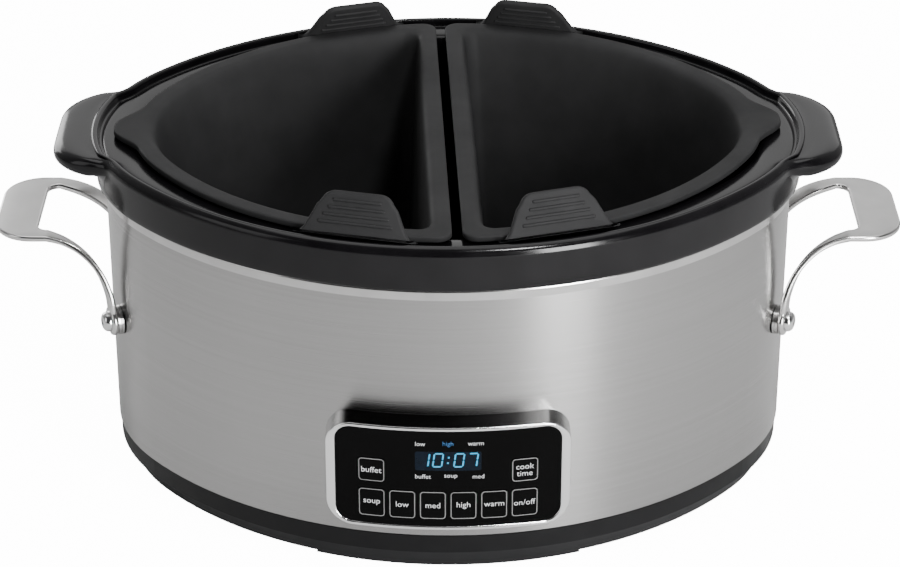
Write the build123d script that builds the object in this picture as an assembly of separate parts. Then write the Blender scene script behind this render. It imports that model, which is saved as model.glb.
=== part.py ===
from build123d import *
import math
import os

# An oval slow cooker. Millimetres, +Z up, front towards -Y, origin at the centre of the footprint
# on the surface that the feet stand on. Every oval is made of four tangent arcs, so a wall that is
# offset by "grow" stays concentric with the housing's wall. grow is positive outwards.

# Housing
wall_long = 172.5  # half length of the steel wall, outside
wall_wide = 134.5  # half width of the steel wall, outside
wall_end = 100.0  # radius of the two end arcs
wall_thick = 0.8
wall_bottom = 23.0
wall_top = 156.8
trim_low = 153.0
trim_top = 158.4

# Base
base_floor = 2.5  # underside of the base pan
base_floor_top = 5.5
base_step = 12.5  # height where the lower tier meets the upper tier
base_top = 22.0
front_foot_half = 65.0
foot_bar_low = 0.3
rubber_radius = 9.0
rubber_spots = [(x, y) for x in (-92, 92) for y in (-78, 78)]
post_spots = [(x, y) for x in (-70, 70) for y in (-42, 42)]
screw_radius = 1.75
shield_low = 20.0  # underside of the heat shield
shield_thick = 0.8

# Heating well and crock
well_top = 156.0
well_bottom = 28.0
well_top_grow = -6.0  # outside of the well at its top
well_bottom_grow = -24.0  # outside of the well at its bottom
well_thick = 1.0
crock_bottom = 36.0
crock_floor = 44.0
crock_neck = 159.0  # underside of the crock's rim
crock_rim_top = 181.0
crock_rim_grow = 4.5
seat_z = 175.5  # recess inside the rim, where a lid would sit
ledge_z = 167.0
ear_reach = 196.5
ear_half = 43.0
ear_corner = 26.0
ear_hollow = 13.0
ear_low = 171.0
ear_top = 180.8

# Silicone liners, a pair of half bowls that stand side by side in the crock
liner_long = 157.0
liner_wide = 127.0
liner_end = 86.0
liner_top = 182.0
liner_bottom = 46.0
liner_thick = 2.4
liner_lip = 8.0  # width of the flange
liner_skirt = 6.0  # how far the flange's edge turns down
liner_half_gap = 2.4
liner_corner = 7.0
liner_low_inset = 31.0  # how far the bowl's foot is drawn in from the flange
liner_twist = 2.0  # degrees that the pair is turned in the crock
spout_reach = 167.0
spout_half = 37.0  # half width of the spout's root, inside the flange
spout_tip_half = 5.0
tab_x = 47.0
tab_low_half = 24.0
tab_high_half = 16.0
tab_rise = 19.0
tab_thick = 3.6
tab_lean = 26.0

# Control panel
panel_long = 117.2
panel_high = 57.0
panel_z = 62.3
panel_reach = 12.5  # how far the bezel stands out of the wall
panel_corner = 13.0
face_long = 107.6
face_high = 52.4
face_corner = 8.0
face_front = 12.0
face_back = 10.4
key_gap = 0.35
key_wide = 12.5
key_pitch = 14.66
key_low_z = 47.8
key_low_high = 15.2
key_up_z = 66.0
key_up_high = 12.6
key_front = 12.25
key_back = 10.9
key_travel = 0.5
display_z = 72.4
display_long = 31.6
display_high = 10.4
lamp_radius = 1.1
board_front = -130.6  # y of the control board's front face
board_thick = 1.6
switch_high = 4.3

# Handles
fixing_half = 38.0  # y of each fixing on the wall
fixing_z = 90.0
fixing_turn = math.asin(fixing_half / wall_end)  # angle of the fixings on the end arc
boss_high = 3.0
boss_radius = 7.5
screw_head = 5.2
screw_high = 3.8
strap_thick = 3.0
strap_wide = 9.0
grip_z = 133.0
grip_out = 228.0
grip_in = 206.0
grip_half = 34.5
grip_corner = 20.0
grip_end = 200.5  # where the arms start to bend down

# Cord gland
gland_z = 44.0
gland_bore = 3.6
gland_radius = 8.0
gland_reach = 12.5


def oval_arcs(long, wide, end):
    """Radius and centre offset of an oval's side arcs, and the point where they meet its end arcs."""
    end_x = long - end
    side = (end_x**2 + wide**2 - end**2) / (2 * (wide - end))
    offset = side - wide
    reach = math.hypot(end_x, offset)
    return side, offset, side * end_x / reach, side * offset / reach - offset


def oval(long, wide, end):
    """Face bounded by four tangent arcs, with the given half length, half width and end radius."""
    _, _, x, y = oval_arcs(long, wide, end)
    corners = [(-x, -y), (x, -y), (x, y), (-x, y)]
    middles = [(0, -wide), (long, 0), (0, wide), (-long, 0)]
    arcs = [ThreePointArc(corners[i], middles[i], corners[(i + 1) % 4]) for i in range(4)]
    return Face(Wire(arcs))


def wall_oval(grow):
    """The housing wall's oval, offset outwards by grow."""
    return oval(wall_long + grow, wall_wide + grow, wall_end + grow)


def slab(grow, low, high):
    """A solid oval from low to high."""
    return extrude(Pos(0, 0, low) * wall_oval(grow), high - low)


def cone(grow_low, low, grow_high, high):
    """A solid oval whose sides slope from grow_low to grow_high."""
    return loft([Pos(0, 0, low) * wall_oval(grow_low), Pos(0, 0, high) * wall_oval(grow_high)], ruled=True)


def tub(grow_out, grow_in, low, high):
    """An oval ring with upright walls."""
    return slab(grow_out, low, high) - slab(grow_in, low, high)


def rod(radius, low, high):
    """A cylinder along Z between two heights."""
    return Pos(0, 0, low) * Cylinder(radius, high - low, align=(Align.CENTER, Align.CENTER, Align.MIN))


def peg(radius, front, back):
    """A cylinder along Y between two depths."""
    return Pos(0, front, 0) * Rot(-90, 0, 0) * rod(radius, 0, back - front)


def side_arc_y(grow, x):
    """y of the front wall, offset by grow, at x."""
    side, offset, _, _ = oval_arcs(wall_long, wall_wide, wall_end)
    return offset - math.sqrt((side + grow) ** 2 - x**2)


def well_grow(z):
    """Growth of the heating well's outside at height z."""
    share = (z - well_bottom) / (well_top - well_bottom)
    return well_bottom_grow + share * (well_top_grow - well_bottom_grow)


def front_bar(long, high, corner, centre_z):
    """A rounded bar along Y that passes through the front wall."""
    outline = Plane.XZ * Pos(0, centre_z) * RectangleRounded(long, high, corner)
    return extrude(Pos(0, -100, 0) * outline, 60)


def front_band(grow_out, grow_in):
    """The front part of an oval ring, as tall and wide as the panel needs."""
    return tub(grow_out, grow_in, 20, 110) & (Pos(0, -140, 65) * Box(150, 80, 120))


def fixing_frame(side, end):
    """Frame on the wall at one handle fixing. side is -1 or 1 in x, end is -1 or 1 in y. Z points out."""
    end_x = wall_long - wall_end
    run = math.sqrt(wall_end**2 - fixing_half**2)
    out = Vector(side * run, end * fixing_half, 0).normalized()
    spot = Vector(side * (end_x + run), end * fixing_half, fixing_z)
    return Plane(origin=spot, x_dir=(0, 0, 1), z_dir=out)


fixings = [(side, end) for side in (-1, 1) for end in (-1, 1)]


def key_table():
    """Name, x, centre height and height of each key."""
    lower = ["soup", "low", "medium", "high", "warm", "power"]
    keys = [(name, (i - 2.5) * key_pitch, key_low_z, key_low_high) for i, name in enumerate(lower)]
    edge = 2.5 * key_pitch
    return keys + [("buffet", -edge, key_up_z, key_up_high), ("timer", edge, key_up_z, key_up_high)]


def lamp_spots():
    """x and z of the small indicator lamps, three above and three below the display."""
    half = display_high / 2 + 3.4
    return [(x, display_z + dz) for dz in (half, -half) for x in (-13.2, 0, 13.2)]


def panel_opening():
    """The hole in the steel wall behind the bezel."""
    return front_bar(face_long + 1.2, face_high + 1.2, face_corner + 0.6, panel_z)


def steel_wrap():
    wall = tub(0, -wall_thick, wall_bottom, wall_top) - panel_opening()
    for side, end in fixings:
        wall -= fixing_frame(side, end) * rod(2.2, -5, 5)
    return wall - Pos(0, 0, gland_z) * peg(gland_radius + 0.1, 120, 150)


def top_trim_ring():
    outside = fillet(slab(1.2, trim_low, trim_top).edges().group_by(Axis.Z)[-1], 1.6)
    ring = outside - slab(0.05, trim_low, wall_top + 0.1)
    return ring - slab(-7.5, wall_top, trim_top)


def base_pan():
    pan = slab(-0.8, base_step, base_top) + cone(-7.0, base_floor, -4.2, base_step)
    pan += slab(-wall_thick - 0.2, base_top, base_top + 9)
    pan -= slab(-6.5, base_step, base_top + 9)
    pan -= cone(-10.5, base_floor_top, -6.5, base_step)
    pan -= tub(-wall_thick - 0.2, -3.0, base_top, base_top + 9) - slab(-3.0, base_top, base_top + 9)
    bars = cone(-8.4, foot_bar_low, -7.6, base_floor) - slab(-26, foot_bar_low, base_floor)
    pan += bars & (Pos(0, 0, base_floor / 2) * Box(2 * front_foot_half, 400, base_floor))
    for x, y in post_spots:
        pan += Pos(x, y) * rod(5, base_floor_top, shield_low)
        pan -= Pos(x, y) * (rod(4, base_floor, base_floor_top) + rod(2.0, base_floor, shield_low))
    for x, y in rubber_spots:
        pan += Pos(x, y) * rod(6.5, base_floor_top, base_floor_top + 4)
        pan -= Pos(x, y) * rod(4, base_floor, base_floor_top + 2.5)
    return pan


def rubber_feet():
    feet = []
    for x, y in rubber_spots:
        pad = fillet(rod(rubber_radius, 0, base_floor).edges().group_by(Axis.Z)[0], 0.5)
        feet.append(Pos(x, y) * (pad + rod(4, base_floor, base_floor_top + 2.4)))
    return feet


def heat_shield():
    plate = slab(-12, shield_low, shield_low + shield_thick)
    for x, y in post_spots:
        plate -= Pos(x, y) * rod(2.0, shield_low, shield_low + shield_thick)
    return plate


def support_posts():
    low = shield_low + shield_thick
    post = rod(4, low, well_bottom) - rod(screw_radius, low, well_bottom - 1.5)
    return [Pos(x, y) * post for x, y in post_spots]


def base_screws():
    head = fillet(rod(3.5, base_floor + 0.8, base_floor_top - 0.4).edges().group_by(Axis.Z)[0], 0.7)
    head += rod(3.9, base_floor_top - 0.4, base_floor_top)
    head -= Pos(0, 0, base_floor + 0.8) * (Box(4, 0.9, 2) + Box(0.9, 4, 2))
    screw = head + rod(screw_radius, base_floor_top, well_bottom - 2.5)
    return [Pos(x, y) * screw for x, y in post_spots]


def heating_well():
    outside = cone(well_bottom_grow, well_bottom, well_top_grow, well_top)
    inside_low = well_grow(well_bottom + well_thick) - well_thick
    inside = cone(inside_low, well_bottom + well_thick, well_top_grow - well_thick, well_top)
    flange = tub(-wall_thick - 0.2, well_top_grow - well_thick, well_top - well_thick, well_top)
    return (outside - inside) + flange


def wrap_band(low, high, lift, thick):
    """A band that lies round the well's sloping wall, lifted off it by lift."""
    outside = cone(well_grow(low) + lift + thick, low, well_grow(high) + lift + thick, high)
    return outside - cone(well_grow(low) + lift, low, well_grow(high) + lift, high)


def heater_band():
    return wrap_band(44, 84, 0.1, 1.5)


def insulation_blanket():
    return wrap_band(38, 92, 1.8, 3.0)


def temperature_sensor():
    low = shield_low + shield_thick
    return rod(6, low + 2.2, well_bottom) + rod(9, low, low + 2.2)


def thermal_fuse():
    barrel = Rot(0, 90, 0) * Cylinder(2, 14)
    leads = Rot(0, 90, 0) * Cylinder(0.6, 30)
    return Pos(0, 40, well_bottom - 2.1) * (barrel + leads)


def power_board():
    board = Pos(0, 62, 9) * Box(96, 50, 1.6)
    supports = [Pos(x, y) * rod(3, base_floor_top, 8.2) for x in (-42, 42) for y in (42, 82)]
    return [board, *supports]


def power_parts():
    """Relay, transformer and capacitor on the power board."""
    relay = Pos(-26, 62, 14.1) * Box(19, 15.5, 8.6)
    transformer = Pos(6, 62, 14.3) * (Box(24, 20, 7) + Box(14, 24, 9))
    capacitor = Pos(34, 62, 9.8 + 4.1) * Rot(90, 0, 0) * Cylinder(4.1, 18)
    return [relay, transformer, capacitor]


def panel_bezel():
    frame = front_bar(panel_long, panel_high, panel_corner, panel_z)
    frame -= front_bar(face_long + 0.2, face_high + 0.2, face_corner, panel_z)
    frame = frame & front_band(panel_reach, 0.1)
    front = frame.faces().sort_by(Axis.Y)[0]
    return fillet(front.edges(), 0.9)


def panel_face():
    face = front_bar(face_long, face_high, face_corner, panel_z) & front_band(face_front, face_back)
    for _, x, z, high in key_table():
        face -= Pos(x, 0) * front_bar(key_wide + 2 * key_gap, high + 2 * key_gap, 2.2, z)
    face -= front_bar(display_long, display_high, 1.0, display_z)
    for x, z in lamp_spots():
        face -= Pos(x, 0, z) * peg(lamp_radius, -160, -130)
    return face


def display_window():
    return front_bar(display_long, display_high, 1.0, display_z) & front_band(face_front, face_back)


def indicator_lamps():
    band = front_band(face_front, face_back)
    return [Pos(x, 0, z) * peg(lamp_radius, -160, -130) & band for x, z in lamp_spots()]


def panel_housing():
    """Moulded tray behind the face. It passes through the wall and holds the control board."""
    tray = front_bar(face_long, face_high, face_corner, panel_z) & front_band(face_back - 0.1, -9.5)
    hollow = front_bar(face_long - 5, face_high - 5, face_corner - 2.5, panel_z)
    return tray - (hollow & front_band(face_back, -7.5))


def control_board():
    return Pos(0, board_front + board_thick / 2, panel_z) * Box(98, board_thick, face_high - 6)


def display_module():
    depth = 8.6
    return Pos(0, board_front - depth / 2, display_z) * Box(display_long + 2, depth, display_high + 1.4)


def tact_switches():
    body = Pos(0, board_front - 1.7) * Box(6, 3.4, 6)
    switch = body + peg(1.7, board_front - switch_high, board_front - 3.4)
    return [Pos(x, 0, z) * switch for _, x, z, _ in key_table()]


def key(x, z, high):
    """One key: a curved cap with a stem that ends short of its switch by the key's travel."""
    cap = Pos(x, 0) * front_bar(key_wide, high, 1.8, z) & front_band(key_front, key_back)
    stem_end = board_front - switch_high - key_travel - 0.1
    stem = Pos(x, 0, z) * peg(2.0, side_arc_y(key_back + 0.4, x), stem_end)
    return cap + stem


def arm_stations():
    """x, y, z and twist in degrees of the strap's centre, from its fixing up to the grip."""
    low_x = wall_long - wall_end + (wall_end + boss_high + strap_thick / 2) * math.cos(fixing_turn)
    low_y = fixing_half * (1 + (boss_high + strap_thick / 2) / wall_end)
    return [
        (low_x, low_y, fixing_z, 22),
        (low_x, low_y, fixing_z + 8, 22),
        (low_x + 1.2, low_y - 1.2, fixing_z + 15, 22),
        (low_x + 4.6, low_y - 3.6, fixing_z + 23.5, 21),
        (low_x + 9.8, low_y - 6.0, fixing_z + 30.8, 20),
        (low_x + 16.4, low_y - 8.0, fixing_z + 36.6, 17),
        (low_x + 23.8, grip_half - strap_wide / 2 + 0.4, grip_z - 2.4, 10),
    ]


def strap_arm(side, end):
    """One arm of a handle, lofted through turned sections from the fixing up to the grip."""
    last = (grip_end, grip_half - strap_wide / 2, grip_z, 0)
    stations = arm_stations() + [last]
    sections = []
    for i, (x, y, z, twist) in enumerate(stations):
        before = stations[max(i - 1, 0)]
        after = stations[min(i + 1, len(stations) - 1)]
        lean = math.degrees(math.atan2(after[0] - before[0], after[2] - before[2]))
        if (x, y, z, twist) == last:
            lean = 90
        place = Pos(side * x, end * y, z) * Rot(0, side * lean, 0) * Rot(0, 0, side * end * twist)
        sections.append(place * Rectangle(strap_thick, strap_wide))
    return loft(sections)


def handle(side):
    """A stamped strap: a flat rounded grip and two arms that end in round tabs."""
    wall_side = wall_long - 25
    outline = Pos(side * (grip_out + wall_side) / 2, 0)
    outline *= RectangleRounded(grip_out - wall_side, 2 * grip_half, grip_corner)
    window = Pos(side * (grip_in + wall_side) / 2, 0)
    window *= RectangleRounded(grip_in - wall_side, 2 * (grip_half - strap_wide), grip_in - grip_end)
    keep = Pos(side * (grip_end + grip_half), 0) * Rectangle(2 * grip_half, 4 * grip_half)
    shape = extrude(Pos(0, 0, grip_z - strap_thick / 2) * ((outline - window) & keep), strap_thick)
    tab_top = boss_high + strap_thick
    for end in (-1, 1):
        shape += strap_arm(side, end)
        shape += fixing_frame(side, end) * rod(boss_radius, boss_high, tab_top)
    for end in (-1, 1):
        seats = rod(boss_radius + 0.5, -8, boss_high) + rod(screw_head + 0.3, tab_top, tab_top + 8)
        shape -= fixing_frame(side, end) * (seats + rod(2.2, 0, tab_top + 8))
    return shape


def handle_bosses():
    """Two stacked washers between the wall and the handle's tab."""
    boss = rod(boss_radius, 0.3, 1.4) + rod(boss_radius - 0.9, 1.4, 1.8) + rod(boss_radius, 1.8, boss_high)
    boss -= rod(2.2, 0, boss_high)
    return [fixing_frame(side, end) * boss for side, end in fixings]


def handle_screws():
    low = boss_high + strap_thick
    head = fillet(rod(screw_head, low, low + screw_high).edges().group_by(Axis.Z)[-1], screw_high - 0.8)
    head -= Pos(0, 0, low + screw_high) * (Box(4.6, 0.9, 2.4) + Box(0.9, 4.6, 2.4))
    screw = head + rod(2.0, -6.4, low)
    return [fixing_frame(side, end) * screw for side, end in fixings]


def handle_nuts():
    nut = extrude(RegularPolygon(4.0, 6), 3.2) - rod(2.05, 0, 3.2)
    return [fixing_frame(side, end) * Pos(0, 0, -wall_thick - 1.7 - 3.2) * nut for side, end in fixings]


def backing_plates():
    plates = []
    for side, end in fixings:
        plate = fixing_frame(side, end) * (rod(9, -2.4, 0) - rod(2.2, -4, 2))
        plates.append(plate & slab(-wall_thick - 0.1, 60, 120))
    return plates


def cord_gland():
    collar = rod(gland_radius + 3, 0, 2.0)
    sleeve = rod(gland_radius, -4, 4) + loft(
        [Pos(0, 0, 4) * Circle(gland_radius), Pos(0, 0, gland_reach) * Circle(gland_radius - 2)]
    )
    clip = rod(gland_radius + 2, -4, -wall_thick - 0.6)
    gland = sleeve + collar + clip - rod(gland_bore, -4, gland_reach)
    frame = Plane(origin=(0, wall_wide, gland_z), x_dir=(1, 0, 0), z_dir=(0, 1, 0))
    return frame * gland - (slab(0.1, 20, 80) - slab(-wall_thick - 0.1, 20, 80) - gland_plug())


def gland_plug():
    """The gland's own stretch through the wall."""
    return Pos(0, 0, gland_z) * peg(gland_radius, 120, 150)


def crock_ears():
    """A flat lobe at each end of the rim, blended into it with hollow corners."""
    outline = RectangleRounded(2 * ear_reach, 2 * ear_half, ear_corner)
    lobes = extrude(Pos(0, 0, ear_low) * outline, ear_top - ear_low)
    plate = slab(crock_rim_grow, ear_low, ear_top) + lobes
    hollow = [e for e in plate.edges().filter_by(Axis.Z) if abs(abs(e.center().Y) - ear_half) < 0.5]
    hollow = [e for e in hollow if abs(e.center().X) < ear_reach - ear_corner - 1]
    plate = fillet(hollow, ear_hollow)
    plate = fillet(plate.edges().group_by(Axis.Z)[-1], 3.5)
    return fillet(plate.edges().group_by(Axis.Z)[0], 3.5)


def crock():
    body = cone(-27.5, crock_bottom, -10.3, crock_neck)
    body = fillet(body.edges().group_by(Axis.Z)[0], 6)
    rim = slab(crock_rim_grow, crock_neck, crock_rim_top)
    rim = fillet(rim.edges().group_by(Axis.Z)[-1], 4.0)
    rim = fillet(rim.edges().group_by(Axis.Z)[0], 1.5)
    body = body + rim + crock_ears()
    seat = slab(-1.0, seat_z, crock_rim_top + 1)
    seat = fillet(seat.edges().group_by(Axis.Z)[0], 1.5)
    ledge = cone(-17.5, ledge_z, -3.5, seat_z)
    bowl = cone(-34.5, crock_floor, -17.5, ledge_z)
    bowl = fillet(bowl.edges().group_by(Axis.Z)[0], 12)
    return body - (seat + ledge + bowl)


def liner_half(inset, near):
    """Right-hand half of the liners' oval, drawn in by inset, its straight side at x = near."""
    long, wide, end = liner_long - inset, liner_wide - inset, liner_end - inset
    side, offset, joint_x, joint_y = oval_arcs(long, wide, end)
    mid_x = near + liner_corner
    mid_y = math.sqrt((side - liner_corner) ** 2 - mid_x**2) - offset
    scale = side / (side - liner_corner)
    touch = Vector(mid_x * scale, (mid_y + offset) * scale - offset)
    middle = Vector(mid_x, mid_y)
    bisector = (touch - middle).normalized() + Vector(-1, 0)
    outer = middle + bisector.normalized() * liner_corner
    half_x = (touch.X + joint_x) / 2
    half_y = math.sqrt(side**2 - half_x**2) - offset
    back = [(near, mid_y), (outer.X, outer.Y), (touch.X, touch.Y), (half_x, half_y), (joint_x, joint_y)]
    front = [(x, -y) for x, y in back]
    return Face(Wire([
        Line(back[0], front[0]),
        ThreePointArc(*front[0:3]),
        ThreePointArc(*front[2:5]),
        ThreePointArc(front[4], (long, 0), back[4]),
        ThreePointArc(*back[4:1:-1]),
        ThreePointArc(*back[2::-1]),
    ]))


def liner_beak(inset, low, high):
    """Pour spout at the far end, seen from above a blunt point, drawn in by inset."""
    base = liner_long - 14
    tip = spout_reach - inset
    root_half = spout_half - 1.2 * inset
    tip_half = spout_tip_half - 0.6 * inset
    plan = Polyline((base, -root_half), (tip, -tip_half), (tip, tip_half), (base, root_half), close=True)
    beak = extrude(Pos(0, 0, low) * make_face(plan), high - low)
    return fillet([e for e in beak.edges().filter_by(Axis.Z) if e.center().X > base + 1], 6)


def liner_plug(inset, low, high):
    """The whole outline of one liner's flange as a solid, drawn in by inset."""
    plug = extrude(Pos(0, 0, low) * liner_half(inset, liner_half_gap + inset), high - low)
    plug += liner_beak(inset, low, high)
    seam_x = liner_long - inset - 8
    upright = plug.edges().filter_by(Axis.Z)
    hollow = [e for e in upright if e.center().X > seam_x and 14 < abs(e.center().Y) < 30]
    return fillet(hollow, 8)


def liner_tab(end):
    """Grip tab with four ribs. It stands on the flange and leans inwards."""
    corners = [(-tab_low_half, 0), (tab_low_half, 0), (tab_high_half, tab_rise), (-tab_high_half, tab_rise)]
    tab = extrude(make_face(Polyline(*corners, close=True)), tab_thick)
    tab = fillet(tab.edges().filter_by(Axis.Z).group_by(Axis.Y)[-1], 7)
    for i in range(4):
        rib = Box(2 * (tab_high_half - 5 + 2.1 * i), 1.5, tab_thick + 1.6)
        tab += Pos(0, tab_rise - 4.4 - 3.5 * i, tab_thick / 2) * rib
    standing = Rot(0, 0, 90 + end * 90) * Rot(90, 0, 0) * tab
    leaning = Rot(end * tab_lean, 0, 0) * standing
    side, offset, _, _ = oval_arcs(liner_long, liner_wide, liner_end)
    turn = math.degrees(math.asin(tab_x / side))
    y = math.sqrt((side - 1.5) ** 2 - tab_x**2) - offset
    return Pos(tab_x, end * y, liner_top - 1.2) * Rot(0, 0, -end * turn) * leaning


def liner():
    """Right-hand half bowl with a flange, a turned-down edge, a spout and two grip tabs."""
    shape = liner_plug(0, liner_top - liner_skirt, liner_top)
    shape -= liner_plug(2.2, liner_top - liner_skirt, liner_top - liner_thick)
    near = liner_half_gap + liner_lip
    bowls = []
    for shrink in (0, liner_thick):
        high = Pos(0, 0, liner_top) * liner_half(liner_lip + shrink, near + shrink)
        low = Pos(0, 0, liner_bottom + shrink) * liner_half(liner_low_inset + shrink, near + 6 + shrink)
        bowls.append(loft([low, high], ruled=True))
    shape += bowls[0]
    for end in (-1, 1):
        shape += liner_tab(end)
    return shape - bowls[1]


def save(name, shape):
    """Write one node. Several solids are written as one group."""
    shapes = shape if isinstance(shape, list) else [shape]
    solids = [solid for piece in shapes for solid in piece.solids()]
    node = solids[0] if len(solids) == 1 else Compound(children=solids)
    node.label = name
    export_step(node, f"parts/{name}.step")


os.makedirs("parts", exist_ok=True)

for build in (
    steel_wrap, top_trim_ring, base_pan, rubber_feet, heat_shield, support_posts, base_screws,
    heating_well, heater_band, insulation_blanket, temperature_sensor, thermal_fuse,
    power_board, power_parts, panel_bezel, panel_face, display_window, indicator_lamps,
    panel_housing, control_board, display_module, tact_switches,
    handle_bosses, handle_screws, handle_nuts, backing_plates, cord_gland, crock,
):
    save(build.__name__, build())

for name, x, z, high in key_table():
    save(f"key_{name}", key(x, z, high))

save("handle_left", handle(-1))
save("handle_right", handle(1))

right = Rot(0, 0, liner_twist) * liner()
save("liner_right", right)
save("liner_left", Rot(0, 0, 180) * right)
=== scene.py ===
import math

import bmesh
import bpy
from mathutils import Matrix, Vector


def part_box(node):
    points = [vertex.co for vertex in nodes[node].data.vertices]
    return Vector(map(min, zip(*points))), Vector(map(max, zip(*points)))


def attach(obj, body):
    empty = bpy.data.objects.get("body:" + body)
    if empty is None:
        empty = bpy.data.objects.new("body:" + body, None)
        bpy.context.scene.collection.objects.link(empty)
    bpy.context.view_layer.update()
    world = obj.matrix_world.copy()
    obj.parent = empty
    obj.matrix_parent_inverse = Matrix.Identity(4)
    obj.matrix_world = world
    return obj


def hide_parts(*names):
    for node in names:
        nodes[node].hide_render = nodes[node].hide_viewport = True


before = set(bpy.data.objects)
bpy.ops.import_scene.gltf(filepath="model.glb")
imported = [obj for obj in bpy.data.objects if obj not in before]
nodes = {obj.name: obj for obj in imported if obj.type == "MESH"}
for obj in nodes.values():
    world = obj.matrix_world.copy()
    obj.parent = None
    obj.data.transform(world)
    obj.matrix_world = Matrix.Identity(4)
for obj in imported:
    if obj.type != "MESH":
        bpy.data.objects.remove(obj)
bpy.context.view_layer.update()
MM = 0.001

# The housing's wall is an oval of four tangent arcs. Millimetres and degrees.
END_RADIUS = 100.0
END_CENTRE_X = 72.5
END_HALF_ANGLE = 39.09
SIDE_RADIUS = 193.43
SIDE_CENTRE_Y = 58.93

PRINT_THICK = 0.03  # printed markings are thin plates, in millimetres
KEY_GROW = 12.25  # the keys' front, outwards from the wall
FACE_GROW = 12.0  # the panel's front, outwards from the wall

KEY_WORDS = {
    "key_soup": "soup",
    "key_low": "low",
    "key_medium": "med",
    "key_high": "high",
    "key_warm": "warm",
    "key_power": "on/off",
    "key_buffet": "buffet",
    "key_timer": "cook\ntime",
}
DIGIT_STROKES = {"0": "abcdef", "1": "bc", "7": "abc"}


# ---------------------------------------------------------------- materials


class Surface:
    """A node-based material that takes its detail from object coordinates."""

    def __init__(self, name, rough, metallic=0.0, **sockets):
        self.material = bpy.data.materials.new(name)
        self.material.use_nodes = True
        self.tree = self.material.node_tree
        self.shader = self.tree.nodes["Principled BSDF"]
        self.coords = self.tree.nodes.new("ShaderNodeTexCoord").outputs["Object"]
        self.normal = None
        self.shader.inputs["Roughness"].default_value = rough
        self.shader.inputs["Metallic"].default_value = metallic
        for socket, value in sockets.items():
            self.shader.inputs[socket.replace("_", " ")].default_value = value

    def noise(self, scale, stretch=(1, 1, 1), detail=3.0, distort=0.0):
        """Fractal noise, scale in cycles per metre before the stretch."""
        place = self.tree.nodes.new("ShaderNodeMapping")
        place.inputs["Scale"].default_value = stretch
        self.tree.links.new(self.coords, place.inputs["Vector"])
        node = self.tree.nodes.new("ShaderNodeTexNoise")
        node.inputs["Scale"].default_value = scale
        node.inputs["Detail"].default_value = detail
        node.inputs["Distortion"].default_value = distort
        self.tree.links.new(place.outputs[0], node.inputs["Vector"])
        return node.outputs["Fac"]

    def cells(self, scale):
        """Distance to the nearest cell centre, scale in cells per metre."""
        node = self.tree.nodes.new("ShaderNodeTexVoronoi")
        node.inputs["Scale"].default_value = scale
        self.tree.links.new(self.coords, node.inputs["Vector"])
        return node.outputs["Distance"]

    def colour(self, fac, dark, light, low=0.3, high=0.7):
        """Base colour between two colours, led by fac."""
        ramp = self.tree.nodes.new("ShaderNodeValToRGB")
        ramp.color_ramp.elements[0].position = low
        ramp.color_ramp.elements[0].color = (*dark, 1)
        ramp.color_ramp.elements[1].position = high
        ramp.color_ramp.elements[1].color = (*light, 1)
        self.tree.links.new(fac, ramp.inputs[0])
        self.tree.links.new(ramp.outputs[0], self.shader.inputs["Base Color"])
        return self

    def rough(self, fac, low, high):
        """Roughness between low and high, led by fac."""
        node = self.tree.nodes.new("ShaderNodeMapRange")
        node.inputs["From Min"].default_value = 0.3
        node.inputs["From Max"].default_value = 0.7
        node.inputs["To Min"].default_value = low
        node.inputs["To Max"].default_value = high
        self.tree.links.new(fac, node.inputs["Value"])
        self.tree.links.new(node.outputs[0], self.shader.inputs["Roughness"])
        return self

    def bump(self, fac, strength, distance):
        """Surface relief. distance is its height in metres."""
        node = self.tree.nodes.new("ShaderNodeBump")
        node.inputs["Strength"].default_value = strength
        node.inputs["Distance"].default_value = distance
        self.tree.links.new(fac, node.inputs["Height"])
        if self.normal:
            self.tree.links.new(self.normal, node.inputs["Normal"])
        self.normal = node.outputs[0]
        self.tree.links.new(self.normal, self.shader.inputs["Normal"])
        return self

    def brushed(self, amount):
        """Highlights drawn out across scratches that run round the housing."""
        node = self.tree.nodes.new("ShaderNodeTangent")
        node.direction_type = "RADIAL"
        node.axis = "Z"
        self.tree.links.new(node.outputs[0], self.shader.inputs["Tangent"])
        self.shader.inputs["Anisotropic"].default_value = amount
        self.shader.inputs["Anisotropic Rotation"].default_value = 0.25
        return self


def make_base_plastic():
    """Satin moulding with a random mottle, whose lower tier is painted lighter: a painted sheen for the light
    its sloped face catches.
    """
    s = Surface("base_plastic", 0.4, Specular_IOR_Level=0.18)
    split = s.tree.nodes.new("ShaderNodeSeparateXYZ")
    s.tree.links.new(s.coords, split.inputs[0])
    # Below 12.5 mm the colour is painted lighter, a painted sheen on the lower tier, added to a random
    # mottle.
    lower_tier_painted_sheen = s.tree.nodes.new("ShaderNodeMapRange")
    lower_tier_painted_sheen.inputs["From Min"].default_value = 0.0122
    lower_tier_painted_sheen.inputs["From Max"].default_value = 0.0128
    lower_tier_painted_sheen.inputs["To Min"].default_value = 0.85
    lower_tier_painted_sheen.inputs["To Max"].default_value = 0.15
    s.tree.links.new(split.outputs["Z"], lower_tier_painted_sheen.inputs["Value"])
    mottle_and_painted_sheen = s.tree.nodes.new("ShaderNodeMath")
    mottle_and_painted_sheen.operation = "MULTIPLY_ADD"
    mottle_and_painted_sheen.inputs[1].default_value = 0.2
    s.tree.links.new(s.noise(60, detail=4), mottle_and_painted_sheen.inputs[0])
    s.tree.links.new(lower_tier_painted_sheen.outputs[0], mottle_and_painted_sheen.inputs[2])
    s.colour(mottle_and_painted_sheen.outputs[0], (0.003, 0.003, 0.0033), (0.014, 0.014, 0.0147), 0.15, 0.95)
    s.rough(s.noise(120, detail=3), 0.34, 0.46)
    return s.bump(s.noise(2200, detail=2), 0.1, 0.00005)


def grey(value, warm=0.0):
    """A neutral colour, made warmer by a small share."""
    return (value * (1 + warm), value, value * (1 - warm))


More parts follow.
